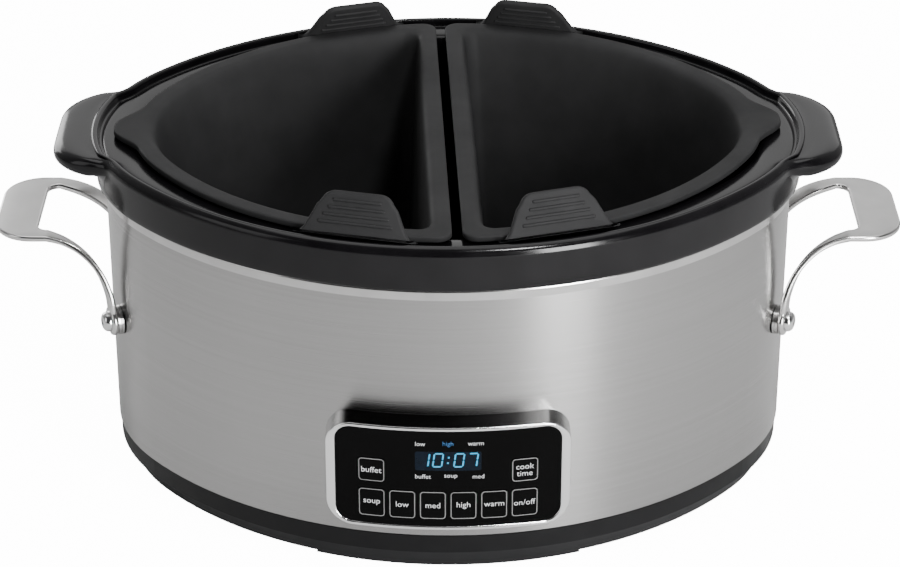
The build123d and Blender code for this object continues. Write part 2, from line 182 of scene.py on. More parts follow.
def make_wrap_steel():
    """Brushed steel with fine scratches that run round the wall."""
    s = Surface("wrap_steel", 0.3, 1.0).brushed(0.8)
    scratches = s.noise(1.0, (9, 9, 5200), detail=4.0)
    s.colour(s.noise(1.0, (5, 5, 900), detail=3.0), grey(0.36, 0.012), grey(0.385, 0.01))
    s.rough(scratches, 0.235, 0.275)
    return s.bump(scratches, 0.05, 0.00003)


def make_trim_steel():
    """Polished steel with faint turning marks."""
    s = Surface("trim_steel", 0.2, 1.0).brushed(0.5)
    s.colour(s.noise(60, detail=3), grey(0.50, 0.01), grey(0.57, 0.01))
    s.rough(s.noise(1.0, (8, 8, 2500), detail=3.0), 0.14, 0.24)
    return s


def make_moulded(name, dark, light, low, high, grain=1500.0, strength=0.2):
    """Moulded plastic or rubber: faint tone change and a fine sparked grain."""
    s = Surface(name, (low + high) / 2)
    s.colour(s.noise(45, detail=4), dark, light)
    s.rough(s.noise(120, detail=3), low, high)
    return s.bump(s.noise(grain, detail=2), strength, 0.00005)


def make_metal(name, dark, light, low, high, scale=90.0, strength=0.1, grain=1800.0):
    """Plain metal: patches of tone and roughness, and a fine grain."""
    s = Surface(name, (low + high) / 2, 1.0)
    s.colour(s.noise(scale, detail=4), dark, light)
    s.rough(s.noise(scale * 1.7, detail=4), low, high)
    return s.bump(s.noise(grain, detail=2), strength, 0.00003)


def make_crock_glaze():
    """Black glaze that pooled unevenly, with pinholes."""
    s = Surface("crock_glaze", 0.16, Specular_IOR_Level=0.27)
    s.colour(s.noise(70, detail=6), (0.0022, 0.0020, 0.0024), (0.0044, 0.0041, 0.0047))
    s.rough(s.noise(35, detail=4), 0.12, 0.19)
    s.bump(s.noise(22, detail=2), 0.15, 0.0003)
    return s.bump(s.noise(420, detail=2), 0.08, 0.00008)


def make_liner_silicone():
    """Matt dark silicone, smudged and slightly wavy."""
    s = Surface("liner_silicone", 0.6, Specular_IOR_Level=0.08)
    s.colour(s.noise(55, detail=5), (0.019, 0.019, 0.0195), (0.024, 0.024, 0.0245))
    s.rough(s.noise(26, detail=5), 0.52, 0.68)
    s.bump(s.noise(30, detail=2), 0.2, 0.0003)
    return s.bump(s.noise(2600, detail=2), 0.15, 0.00004)


def make_panel_gloss(name, tone):
    """Black glossy cover, slightly uneven."""
    s = Surface(name, 0.08, Specular_IOR_Level=0.07)
    s.colour(s.noise(40, detail=4), grey(tone), grey(tone * 1.6))
    s.rough(s.noise(260, detail=4), 0.06, 0.14)
    return s.bump(s.noise(60, detail=2), 0.1, 0.00005)


def make_display_lens():
    """Dark window, faintly blue from the lit digits behind it."""
    s = Surface("display_lens", 0.08, Specular_IOR_Level=0.11, Emission_Color=(0.01, 0.035, 0.07, 1))
    s.shader.inputs["Emission Strength"].default_value = 0.12
    s.colour(s.noise(300, detail=3), (0.001, 0.002, 0.004), (0.002, 0.004, 0.008))
    return s.rough(s.noise(260, detail=4), 0.06, 0.14)


def make_bezel_chrome():
    """Bright chrome whose upper face, turned to the wall, is painted dark: a painted dark reflection."""
    s = Surface("bezel_chrome", 0.08, 1.0)
    split = s.tree.nodes.new("ShaderNodeSeparateXYZ")
    texture = s.tree.nodes.new("ShaderNodeTexCoord")
    s.tree.links.new(texture.outputs["Normal"], split.inputs[0])
    # Faces that point up are painted nearly black, a painted dark reflection on the top face; the other faces
    # stay bright chrome.
    s.colour(split.outputs["Z"], grey(0.86), grey(0.035), 0.86, 0.97)
    s.rough(s.noise(70, detail=4), 0.13, 0.18)
    return s.bump(s.noise(40, detail=2), 0.04, 0.0001)


def make_fibre(name, dark, light):
    """Pressed fibre with strands that lie flat."""
    s = Surface(name, 0.9)
    s.colour(s.noise(500, (1, 1, 5), 6), dark, light)
    return s.bump(s.noise(900, (1, 1, 4), 5), 0.7, 0.0006)


def make_board():
    """Green circuit laminate with a cellular tone."""
    s = Surface("board_laminate", 0.35)
    s.colour(s.cells(320), (0.006, 0.06, 0.022), (0.012, 0.11, 0.04), 0.1, 0.9)
    return s.bump(s.noise(1400), 0.2, 0.00005)


def glow(name, colour, strength):
    """Glowing marking: the colour shines by itself. It is back-lit on the lit time and mode mark; on the
    plain white print it is a painted glow.
    """
    s = Surface(name, 0.35)
    s.colour(s.noise(900), tuple(c * 0.5 for c in colour), tuple(c * 0.6 for c in colour))
    s.shader.inputs["Emission Color"].default_value = (*colour, 1)
    s.shader.inputs["Emission Strength"].default_value = strength
    return s


surfaces = {
    "wrap_steel": make_wrap_steel(),
    "trim_steel": make_trim_steel(),
    "base_plastic": make_base_plastic(),
    "foot_rubber": make_moulded("foot_rubber", grey(0.012), grey(0.02), 0.7, 0.85),
    "shield_metal": make_metal("shield_metal", grey(0.5), grey(0.62), 0.3, 0.5),
    "zinc_steel": make_metal("zinc_steel", grey(0.42, 0.03), grey(0.6, 0.02), 0.25, 0.45),
    "well_aluminium": make_metal("well_aluminium", grey(0.55), grey(0.68), 0.35, 0.55),
    "heater_mica": make_fibre("heater_mica", (0.25, 0.2, 0.13), (0.42, 0.35, 0.25)),
    "blanket_fibre": make_fibre("blanket_fibre", grey(0.55, 0.03), grey(0.8, 0.02)),
    "sensor_brass": make_metal("sensor_brass", (0.55, 0.38, 0.14), (0.7, 0.5, 0.2), 0.2, 0.4),
    "board_laminate": make_board(),
    "component_plastic": make_moulded("component_plastic", grey(0.015), grey(0.03), 0.4, 0.6),
    "bezel_chrome": make_bezel_chrome(),
    "panel_gloss": make_panel_gloss("panel_gloss", 0.0004),
    "key_gloss": make_panel_gloss("key_gloss", 0.0006),
    "display_lens": make_display_lens(),
    "lamp_lens": make_panel_gloss("lamp_lens", 0.0006),
    "tray_plastic": make_moulded("tray_plastic", grey(0.014), grey(0.022), 0.45, 0.6),
    "handle_steel": make_metal("handle_steel", grey(0.60, 0.01), grey(0.68, 0.01), 0.16, 0.24, 60, 0.05, 900),
    "screw_chrome": make_metal("screw_chrome", grey(0.72), grey(0.82), 0.08, 0.16, 60, 0.03, 900),
    "gland_plastic": make_moulded("gland_plastic", grey(0.012), grey(0.02), 0.5, 0.65),
    "crock_glaze": make_crock_glaze(),
    "liner_silicone": make_liner_silicone(),
}
printed = make_moulded("printed_grey", grey(0.15), grey(0.18), 0.4, 0.5)
# The white key words and unlit marks are print, no lamp: their glow is a painted glow.
print_with_painted_glow = glow("white_print_painted_glow", (0.75, 0.76, 0.78), 0.6)
lit_blue = glow("lit_blue", (0.02, 0.30, 0.55), 1.0)
dim_blue = glow("dim_blue", (0.02, 0.16, 0.42), 0.35)
satin_steel = make_metal("handle_satin", grey(0.50, 0.01), grey(0.56, 0.01), 0.30, 0.38, 60, 0.15, 2200)


def paint(obj, surface):
    """Gives an object one material."""
    obj.data.materials.clear()
    obj.data.materials.append(surface.material)


for node in nodes.values():
    paint(node, surfaces[node.data.materials[0].name])


# ---------------------------------------------------------------- pieces


def add_piece(name, mesh, body, surface):
    """A finished piece: its material and the body it rides on."""
    obj = bpy.data.objects.new(name, mesh)
    bpy.context.scene.collection.objects.link(obj)
    paint(obj, surface)
    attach(obj, body)
    return obj


def wall_y(grow, x):
    """Depth of the curved front, offset outwards by grow, at x. Millimetres."""
    return SIDE_CENTRE_Y - math.sqrt((SIDE_RADIUS + grow) ** 2 - x * x)


def wrap_on_front(mesh, grow):
    """Lays a flat drawing (x across, y up, z out, millimetres) on the curved front."""
    for v in mesh.vertices:
        x, up, out = v.co
        v.co = Vector((x, wall_y(grow + out, x), up)) * MM
    mesh.update()


def rounded_ring(width, height, corner, line, steps=6):
    """Flat rounded outline as a strip of faces, centred on the origin."""
    rings = []
    for inset in (0.0, line):
        points = []
        r = max(corner - inset, 0.1)
        half_w, half_h = width / 2 - inset, height / 2 - inset
        for quarter, (sx, sy) in enumerate(((1, 1), (-1, 1), (-1, -1), (1, -1))):
            for i in range(steps + 1):
                angle = (quarter + i / steps) * math.pi / 2
                x = sx * (half_w - r) + r * math.cos(angle)
                y = sy * (half_h - r) + r * math.sin(angle)
                points.append((x, y))
            end_x, end_y = ((-x, y), (x, -y), (-x, y), (x, -y))[quarter]
            for i in range(1, 8):
                points.append((x + (end_x - x) * i / 8, y + (end_y - y) * i / 8))
        rings.append(points)
    return rings


def ring_mesh(name, cx, cy, width, height, corner, line):
    """A printed outline with rounded corners."""
    outer, inner = rounded_ring(width, height, corner, line)
    count = len(outer)
    verts = [(cx + x, cy + y, 0.0) for x, y in outer + inner]
    faces = [(i, (i + 1) % count, count + (i + 1) % count, count + i) for i in range(count)]
    mesh = bpy.data.meshes.new(name)
    mesh.from_pydata(verts, [], faces)
    return thicken(mesh)


def thicken(mesh):
    """Turns a flat drawing into a thin closed plate that faces +z."""
    bm = bmesh.new()
    bm.from_mesh(mesh)
    bmesh.ops.recalc_face_normals(bm, faces=bm.faces)
    if sum(f.normal.z for f in bm.faces) < 0:
        bmesh.ops.reverse_faces(bm, faces=bm.faces)
    top = bm.faces[:]
    made = bmesh.ops.extrude_face_region(bm, geom=top)
    for v in made["geom"]:
        if isinstance(v, bmesh.types.BMVert):
            v.co.z += PRINT_THICK
    bmesh.ops.recalc_face_normals(bm, faces=bm.faces)
    bm.to_mesh(mesh)
    bm.free()
    return mesh


def words_mesh(name, text, cx, cy, size, width=None):
    """Small printed words. size is the height of a capital, width limits the line."""
    curve = bpy.data.curves.new(name, "FONT")
    curve.body = text
    curve.align_x = "CENTER"
    curve.align_y = "CENTER"
    curve.size = size / 0.72
    curve.space_line = 0.88
    curve.resolution_u = 3
    curve.offset = -0.02
    holder = bpy.data.objects.new(name, curve)
    bpy.context.scene.collection.objects.link(holder)
    bpy.context.view_layer.update()
    mesh = bpy.data.meshes.new_from_object(holder)
    bpy.data.objects.remove(holder)
    across = [v.co.x for v in mesh.vertices]
    upward = [v.co.y for v in mesh.vertices]
    scale = 1.0
    if width and max(across) - min(across) > width:
        scale = width / (max(across) - min(across))
    mid_x = (max(across) + min(across)) / 2
    mid_y = (max(upward) + min(upward)) / 2
    for v in mesh.vertices:
        v.co = (cx + (v.co.x - mid_x) * scale, cy + v.co.y - mid_y, 0.0)
    mesh.name = name
    return thicken(mesh)


def segment_mesh(name, text, cx, cy, high, wide, stroke, gap, slant):
    """Seven-segment digits and a colon as flat bars with pointed ends."""
    verts, faces = [], []

    def bar(x0, y0, x1, y1):
        along = Vector((x1 - x0, y1 - y0)).normalized()
        side = Vector((-along.y, along.x)) * stroke / 2
        a = Vector((x0, y0)) + along * 0.12
        b = Vector((x1, y1)) - along * 0.12
        tip = along * stroke / 2
        base = len(verts)
        for p in (a, a + tip + side, b - tip + side, b, b - tip - side, a + tip - side):
            verts.append((p.x, p.y))
        faces.append(tuple(range(base, base + 6)))

    total = sum(gap * 0.55 if c == ":" else gap for c in text) - gap + wide
    x = -total / 2
    h = high / 2
    for char in text:
        if char == ":":
            dot = stroke * 0.55
            dot_x = x + wide * 0.12
            for y in (-h * 0.42, h * 0.42):
                base = len(verts)
                for dx, dy in ((-dot, -dot), (dot, -dot), (dot, dot), (-dot, dot)):
                    verts.append((dot_x + dx, y + dy))
                faces.append(tuple(range(base, base + 4)))
            x += gap * 0.55
            continue
        strokes = {
            "a": (x, h, x + wide, h),
            "b": (x + wide, 0, x + wide, h),
            "c": (x + wide, -h, x + wide, 0),
            "d": (x, -h, x + wide, -h),
            "e": (x, -h, x, 0),
            "f": (x, 0, x, h),
        }
        for s in DIGIT_STROKES[char]:
            bar(*strokes[s])
        x += gap
    mesh = bpy.data.meshes.new(name)
    mesh.from_pydata([(cx + px + slant * py, cy + py, 0.0) for px, py in verts], [], faces)
    return thicken(mesh)


def add_key_print():
    """An outline and a word on every key. They ride on the key."""
    for body, words in KEY_WORDS.items():
        low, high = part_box(body)
        cx, cy = (low[0] + high[0]) / 2 / MM, (low[2] + high[2]) / 2 / MM
        width, height = (high[0] - low[0]) / MM, (high[2] - low[2]) / MM
        ring = ring_mesh(f"{body}_outline", cx, cy, width - 0.2, height - 0.2, 1.7, 0.42)
        wrap_on_front(ring, KEY_GROW)
        add_piece(f"{body}_outline", ring, body, printed)
        label = words_mesh(f"{body}_words", words, cx, cy, 3.1, width - 1.7)
        wrap_on_front(label, KEY_GROW)
        add_piece(f"{body}_words", label, body, print_with_painted_glow)


def add_display_print():
    """The lit time, and a row of words above and below it."""
    low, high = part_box("display_window")
    middle = (low[2] + high[2]) / 2 / MM
    time = segment_mesh("display_time", "10:07", 0.2, middle + 0.6, 7.2, 4.2, 0.8, 6.5, 0.13)
    wrap_on_front(time, FACE_GROW)
    add_piece("display_time", time, "housing", lit_blue)
    rows = (
        ("upper", -0.1, 9.4, ("low", "high", "warm")),
        ("lower", 1.2, -8.6, ("buffet", "soup", "med")),
    )
    for row, x, z, texts in rows:
        for i, text in enumerate(texts):
            name = f"mark_{row}_{i}"
            mark = words_mesh(name, text, (i - 1) * 13.2 + x, middle + z, 2.4)
            wrap_on_front(mark, FACE_GROW)
            lit = name == "mark_upper_1"
            add_piece(name, mark, "housing", dim_blue if lit else print_with_painted_glow)


add_key_print()
add_display_print()


# ---------------------------------------------------------------- large mouldings


def oval_spokes(end_steps, side_steps):
    """Arc centre, radius and outward direction, all the way round the housing's oval."""
    end_half = math.radians(END_HALF_ANGLE)
    centres = ((END_CENTRE_X, 0), (0, -SIDE_CENTRE_Y), (-END_CENTRE_X, 0), (0, SIDE_CENTRE_Y))
    spokes = []
    for quarter in range(4):
        steps = end_steps if quarter % 2 == 0 else side_steps
        half = end_half if quarter % 2 == 0 else math.pi / 2 - end_half
        middle = quarter * math.pi / 2
        radius = END_RADIUS if quarter % 2 == 0 else SIDE_RADIUS
        for i in range(steps):
            angle = middle - half + 2 * half * i / steps
            out = Vector((math.cos(angle), math.sin(angle)))
            spokes.append((Vector(centres[quarter]), radius, out))
    return spokes


def round_off(points):
    """Cuts the corners of an open line twice, in any number of dimensions. The ends stay."""
    for _ in range(2):
        cut = [points[0]]
        for a, b in zip(points, points[1:]):
            cut.append(tuple(0.75 * p + 0.25 * q for p, q in zip(a, b)))
            cut.append(tuple(0.25 * p + 0.75 * q for p, q in zip(a, b)))
        points = cut + [points[-1]]
    return points


def skin(name, rings):
    """A closed smooth mesh over rings with equal numbers of points, given in millimetres."""
    count = len(rings[0])
    verts = [Vector(p) * MM for ring in rings for p in ring]
    faces = []
    for r in range(len(rings) - 1):
        a, b = r * count, (r + 1) * count
        for i in range(count):
            j = (i + 1) % count
            faces.append((a + i, a + j, b + j, b + i))
    faces.append(tuple(range(count)))
    faces.append(tuple(range(len(verts) - 1, len(verts) - 1 - count, -1)))
    mesh = bpy.data.meshes.new(name)
    mesh.from_pydata(verts, [], faces)
    tidy_mesh(mesh)
    return mesh


def tidy_mesh(mesh):
    """Outward normals and smooth shading."""
    bm = bmesh.new()
    bm.from_mesh(mesh)
    bmesh.ops.recalc_face_normals(bm, faces=bm.faces)
    for face in bm.faces:
        face.smooth = True
    bm.to_mesh(mesh)
    bm.free()


def join_meshes(name, parts):
    """One mesh from several, each given as (mesh, matrix)."""
    bm = bmesh.new()
    for mesh, matrix in parts:
        placed = mesh.copy()
        placed.transform(matrix)
        bm.from_mesh(placed)
        bpy.data.meshes.remove(placed)
    whole = bpy.data.meshes.new(name)
    bm.to_mesh(whole)
    bm.free()
    return whole


def ear_reach(spokes, start):
    """How far the crock's ears stand out of its rim at each spoke: a rounded lobe with hollow corners."""
    corner, lobe_x, lobe_y = 26.0, 196.5, 43.0
    reach = []
    for centre, radius, out in spokes:
        depth = 0.0
        for i in range(101):
            p = centre + (radius + start + i * 0.25) * out
            dx = max(abs(p.x) - (lobe_x - corner), 0)
            dy = max(abs(p.y) - (lobe_y - corner), 0)
            if math.hypot(dx, dy) <= corner:
                depth = i * 0.25
        reach.append(depth)
    for _ in range(10):
        count = len(reach)
        reach = [(reach[i - 1] + 2 * reach[i] + reach[(i + 1) % count]) / 4 for i in range(count)]
    return reach


# Crock section from the bowl's floor over the rim to the foot: offset from the housing's oval,
# share of the ear's reach, height, and the height's change where there is an ear.
CROCK_SECTION = [
    (-80, 0, 44, 0), (-40, 0, 44, 0), (-35, 0, 45, 0), (-33, 0, 52, 0), (-25, 0, 110, 0), (-18.6, 0, 160, 0),
    (-17.4, 0, 169.4, 0), (-17.0, 0, 172.2, 0), (-16.4, 0, 175.6, 0), (-15.0, 0, 177.2, 0),
    (-5.6, 0, 177.8, 0), (-3.6, 0, 177.5, 0), (-2.6, 0, 176.9, 0), (-1.6, 0, 177.2, 0),
    (-1.2, 0, 178.4, 0), (-0.9, 0, 180.6, 0),
    (0.1, 0, 181.2, 0), (1.5, 0, 181.1, 0), (3.0, 0.15, 180.2, -0.2), (3.9, 0.45, 179.2, 1.0),
    (4.2, 0.78, 178.3, 1.6), (4.5, 0.95, 177.2, 0.7), (4.5, 1.0, 176.2, -0.8), (4.5, 0.97, 175, -2.4),
    (4.5, 0.82, 174, -3.0), (4.5, 0.45, 173, -2.4), (4.5, 0.12, 171, -2.0), (4.5, 0, 167, -1.0),
    (4.5, 0, 161, 0), (4.2, 0, 159.4, 0), (3.0, 0, 159.0, 0), (-9.5, 0, 159, 0), (-10.7, 0, 157, 0),
    (-26.4, 0, 43, 0), (-28, 0, 37.4, 0), (-34, 0, 36, 0), (-80, 0, 36, 0),
]
RIM_SHIFT = 3.5  # how far the rim moves outwards between the ears' corners


def crock_mesh():
    """The section swept round the oval. The rim moves outwards where there is an ear."""
    spokes = oval_spokes(96, 72)
    reach = ear_reach(spokes, 4.5)
    rings = []
    for grow, share, z, lift in round_off(CROCK_SECTION):
        ring = []
        for (centre, radius, out), ear in zip(spokes, reach):
            on_rim = -6 < grow < 2
            shift = RIM_SHIFT * min(1.0, ear / 12) if on_rim else 0.0
            p = centre + (radius + grow + shift + share * ear) * out
            ring.append((p.x, p.y, z + lift * min(1.0, ear / 10)))
        rings.append(ring)
    return skin("crock_glazed", rings)


# A liner's flange seen from above. Millimetres.
LINER_LONG = 157.0
LINER_WIDE = 127.0
LINER_END = 86.0  # radius of the end arc
LINER_CORNER = 7.0
SPOUT_REACH = 10.0


def smooth_step(low, high, value):
    """0 below low, 1 above high, and a smooth rise between them."""
    t = min(max((value - low) / (high - low), 0.0), 1.0)
    return t * t * (3 - 2 * t)


def liner_ring(inset, near, z, spout):
    """One level line of a liner's half oval: straight side at x = near, the rest drawn in by inset."""
    long, wide, end = LINER_LONG - inset, LINER_WIDE - inset, LINER_END - inset
    corner = LINER_CORNER
    end_x = long - end
    side = (end_x**2 + wide**2 - end**2) / (2 * (wide - end))
    offset = side - wide
    mid = Vector((near + corner, 0))
    mid.y = math.sqrt((side - corner) ** 2 - mid.x**2) - offset
    touch = math.atan2(mid.y + offset, mid.x)
    seam = math.atan2(offset, end_x)
    half = [(near, mid.y * i / 8) for i in range(8)]
    for i in range(10):
        angle = math.pi + (touch - math.pi) * i / 10
        half.append((mid.x + corner * math.cos(angle), mid.y + corner * math.sin(angle)))
    for i in range(28):
        angle = touch + (seam - touch) * i / 28
        half.append((side * math.cos(angle), side * math.sin(angle) - offset))
    for i in range(29):
        angle = seam * (1 - i / 28)
        half.append((end_x + end * math.cos(angle), end * math.sin(angle)))
    line = half + [(x, -y) for x, y in half[-2:0:-1]]
    return [(x + spout * SPOUT_REACH * (1 - smooth_step(3, 25, abs(y))) * (x > end_x), y, z) for x, y in line]


# Liner section from the bowl's floor over the flange to the foot: inset of the curved side,
# inset of the straight side, height, and share of the spout.
LINER_SECTION = [
    (60, 34, 48.6, 0), (40, 20, 48.6, 0), (35, 17, 49.2, 0), (32.6, 16.3, 54, 0), (22, 13.6, 115, 0),
    (13.4, 11.2, 168, 0), (11.8, 10.6, 176, 0), (10.2, 9.6, 180.4, 0.05), (7.6, 7.4, 181.9, 0.3),
    (4.0, 4.0, 182.0, 0.7), (1.2, 1.2, 182.0, 1), (0.1, 0.1, 181.6, 1), (0, 0, 180.4, 1), (0, 0, 179.5, 1),
    (0.1, 0.1, 178.9, 1), (1.1, 1.1, 178.5, 1), (2.1, 2.1, 178.7, 1), (2.4, 2.4, 179.2, 1),
    (3.2, 3.2, 179.6, 0.9), (6.4, 6.4, 179.6, 0.3), (8.6, 8.0, 178.6, 0), (9.6, 8.4, 173, 0),
    (20, 11.2, 113, 0), (30, 13.8, 53, 0), (32, 14.6, 47.6, 0), (37, 17.4, 46, 0), (60, 34, 46, 0),
]


def plate_mesh(name, outline, levels):
    """A plate with rounded edges: outline is a convex line, levels are (inset, height) pairs."""
    count = len(outline)
    points = [Vector(p) for p in outline]
    normals = []
    for i in range(count):
        along = points[(i + 1) % count] - points[i - 1]
        normals.append(Vector((along.y, -along.x)).normalized())
    return skin(name, [[(*(p - n * inset), z) for p, n in zip(points, normals)] for inset, z in levels])


def tab_outline():
    """A grip tab seen from the front: it flares into the flange and has round shoulders."""
    right = [(29.5, -2.2), (26.6, -0.9), (24.6, 1.2), (23.2, 4.0), (19.4, 12.0)]
    shoulder = []
    for i in range(8):
        angle = math.radians(24 + 66 * i / 7)
        shoulder.append((10.6 + 7.0 * math.cos(angle), 12.0 + 7.0 * math.sin(angle)))
    half = right + shoulder
    return half + [(-x, y) for x, y in reversed(half)]


def tab_parts():
    """The plate of a grip tab and its four ribs, flat, as (mesh, matrix) pairs."""
    levels = [(1.3, 0.0), (0.5, 0.25), (0.08, 0.8), (0.0, 1.8), (0.08, 2.8), (0.5, 3.35), (1.3, 3.6)]
    rib_levels = [(0.6, -0.75), (0.25, -0.6), (0.0, -0.1), (0.0, 3.7), (0.25, 4.2), (0.6, 4.35)]
    rib_radius = 0.75
    parts = [(plate_mesh("tab", tab_outline(), levels), Matrix())]
    for i in range(4):
        half = 11.0 + 2.1 * i
        line = []
        for x in (half, -half):
            start = -math.pi / 2 if x > 0 else math.pi / 2
            for k in range(9):
                angle = start + math.pi * k / 8
                line.append((x + rib_radius * math.cos(angle), rib_radius * math.sin(angle)))
        rib = plate_mesh("rib", line, rib_levels)
        parts.append((rib, Matrix.Translation((0, (14.6 - 3.5 * i) * MM, 0))))
    return parts


def liner_mesh(name, turn):
    """One half bowl with its two grip tabs, turned about the middle by an angle in degrees."""
    rings = [liner_ring(inset, 2.4 + near, z, spout) for inset, near, z, spout in round_off(LINER_SECTION)]
    parts = [(skin("bowl", rings), Matrix())]
    tab_x, side, offset = 47.0, 173.95, 46.95
    yaw = math.asin(tab_x / side)
    y = math.sqrt((side - 1.5) ** 2 - tab_x**2) - offset
    for end in (-1, 1):
        place = Matrix.Translation((tab_x * MM, end * y * MM, 0.1808)) @ Matrix.Rotation(-end * yaw, 4, "Z")
        lean = Matrix.Rotation(end * math.radians(26), 4, "X")
        stand = Matrix.Rotation(math.radians(90 + end * 90), 4, "Z") @ Matrix.Rotation(math.pi / 2, 4, "X")
        parts += [(mesh, place @ lean @ stand @ matrix) for mesh, matrix in tab_parts()]
    mesh = join_meshes(name, parts)
    mesh.transform(Matrix.Rotation(math.radians(turn), 4, "Z"))
    return mesh


def catmull(points, steps):
    """Smooth line through points in any number of dimensions."""
    line = []
    ends = [points[0]] + points + [points[-1]]
    for a, b, c, d in zip(ends, ends[1:], ends[2:], ends[3:]):
        for i in range(steps):
            t = i / steps
            line.append(tuple(
                0.5 * (2 * q + (r - p) * t + (2 * p - 5 * q + 4 * r - s) * t * t
                       + (3 * q - p - 3 * r + s) * t**3)
                for p, q, r, s in zip(a, b, c, d)
            ))
    return line + [points[-1]]


# The right handle's strap. Millimetres.
ARM_WIDTH = 9.0
GRIP_START = 200.5  # where the arms end and the flat grip starts
GRIP_REACH = 228.0
GRIP_HALF = 34.5
GRIP_Z = 133.0
FIXING_ANGLE = math.asin(0.38)  # how far round the end arc the screws are
TAB_RADIUS = 7.5


def strap_section(middle, across, face, width):
    """Rounded rectangle: width along across, thickness along face."""
    thick, edge = 3.0, 1.05
    ring = []
    for k, (sx, sy) in enumerate(((1, 1), (-1, 1), (-1, -1), (1, -1))):
        for i in range(4):
            angle = (k + i / 3) * math.pi / 2
            u = sx * (width / 2 - edge) + edge * math.cos(angle)
            v = sy * (thick / 2 - edge) + edge * math.sin(angle)
            ring.append(tuple(middle + across * u + face * v))
    return ring


def arm_sections():
    """Sections of the rear arm of the right handle, from its fixing up to the grip."""
    low_x, low_y = 169.17, 39.71
    stations = [
        (low_x, low_y, 90.0, 22.0), (low_x, low_y, 98.0, 22.0), (low_x + 1.2, low_y - 1.2, 105.0, 22.0),
        (low_x + 4.6, low_y - 3.6, 113.5, 21.0), (low_x + 9.8, low_y - 6.0, 120.8, 20.0),
        (low_x + 16.4, low_y - 8.0, 126.6, 17.0), (low_x + 23.8, 30.4, 130.6, 10.0),
        (GRIP_START, 30.0, GRIP_Z, 0.0),
    ]
    line = catmull(stations, 5)
    sections = []
    for i, (x, y, z, twist) in enumerate(line):
        before, after = line[max(i - 1, 0)], line[min(i + 1, len(line) - 1)]
        lean = math.atan2(after[0] - before[0], after[2] - before[2])
        if i == len(line) - 1:
            lean = math.pi / 2
        turn = Matrix.Rotation(lean, 3, "Y") @ Matrix.Rotation(math.radians(twist), 3, "Z")
        across, face = turn @ Vector((0, 1, 0)), turn @ Vector((1, 0, 0))
        sections.append(strap_section(Vector((x, y, z)), across, face, ARM_WIDTH))
    return sections


def grip_sections():
    """Sections of the flat grip of the right handle, from its rear arm to its front arm."""
    corner, hollow = 20.0, 5.5  # radii of the outer and inner corners
    corner_x, corner_y = GRIP_REACH - corner, GRIP_HALF - corner
    hollow_y = 20.0
    outer = [(GRIP_START + (corner_x - GRIP_START) * i / 4, GRIP_HALF) for i in range(1, 4)]
    for i in range(13):
        angle = math.pi / 2 * i / 12
        outer.append((corner_x + corner * math.sin(angle), corner_y + corner * math.cos(angle)))
    inner = []
    for i in range(1, 17):
        angle = math.pi / 2 * i / 16
        inner.append((GRIP_START + hollow * math.sin(angle), hollow_y + hollow * math.cos(angle)))
    for i in range(1, 6):
        outer.append((GRIP_REACH, corner_y * (1 - i / 5)))
        inner.append((GRIP_START + hollow, hollow_y * (1 - i / 5)))
    pairs = list(zip(outer, inner))
    pairs += [((ox, -oy), (ix, -iy)) for (ox, oy), (ix, iy) in reversed(pairs[:-1])]
    sections = []
    for (ox, oy), (ix, iy) in pairs:
        across = Vector((ox - ix, oy - iy, 0))
        middle = Vector(((ox + ix) / 2, (oy + iy) / 2, GRIP_Z))
        sections.append(strap_section(middle, across.normalized(), Vector((0, 0, -1)), across.length))
    return sections


def handle_mesh(name, side):
    """The whole strap with its two round tabs. Its flat faces are satin, its edges polished."""
    arm = arm_sections()
    flip = Matrix.Diagonal((1, -1, 1))
    front_arm = [[tuple(flip @ Vector(p)) for p in section] for section in reversed(arm)]
    sections = arm + grip_sections()
    count = len(sections[0])
    for section in front_arm:
        # The mirrored sections run the other way round, so they are turned back to match their neighbours.
        last = sections[-1]
        options = []
        for start in range(count):
            for step in (1, -1):
                order = [section[(start + step * i) % count] for i in range(count)]
                options.append((sum((Vector(a) - Vector(b)).length for a, b in zip(order, last)), order))
        sections.append(min(options, key=lambda option: option[0])[1])
    strap = skin(name, sections)
    for face in strap.polygons:
        flat = face.index % count in (3, 11) and face.index < (len(sections) - 1) * count
        face.material_index = 1 if flat else 0
    parts = [(strap, Matrix())]
    circle = []
    for i in range(40):
        angle = 2 * math.pi * i / 40
        circle.append((TAB_RADIUS * math.cos(angle), TAB_RADIUS * math.sin(angle)))
    tab_levels = [(1.1, 3.0), (0.4, 3.2), (0.0, 3.9), (0.0, 5.1), (0.4, 5.8), (1.1, 6.0)]
    for end in (-1, 1):
        disc = plate_mesh("tab", circle, tab_levels)
        centre = Matrix.Translation((END_CENTRE_X * MM, 0, 0.09))
        out = centre @ Matrix.Rotation(FIXING_ANGLE * end, 4, "Z")
        wall = out @ Matrix.Translation((END_RADIUS * MM, 0, 0))
        parts.append((disc, wall @ Matrix.Rotation(math.pi / 2, 4, "Y")))
    mesh = join_meshes(name, parts)
    if side < 0:
        mesh.transform(Matrix.Diagonal((-1, 1, 1, 1)))
        mesh.flip_normals()
    return mesh


def add_mouldings():
    """Softer crock, liners and handles in place of their CAD solids."""
    crock = add_piece("crock_glazed", crock_mesh(), "crock", surfaces["crock_glaze"])
    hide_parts("crock")
    for side, turn in (("right", 2.0), ("left", 182.0)):
        mesh = liner_mesh(f"liner_{side}_moulded", turn)
        piece = add_piece(mesh.name, mesh, f"liner_{side}", surfaces["liner_silicone"])
        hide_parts(f"liner_{side}")
    for side, sign in (("right", 1), ("left", -1)):
        mesh = handle_mesh(f"handle_{side}_strap", sign)
        index = [p.material_index for p in mesh.polygons]
        piece = add_piece(mesh.name, mesh, "housing", surfaces["handle_steel"])
        piece.data.materials.append(satin_steel.material)
        piece.data.polygons.foreach_set("material_index", index)
        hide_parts(f"handle_{side}")


add_mouldings()


# ---------------------------------------------------------------- studio


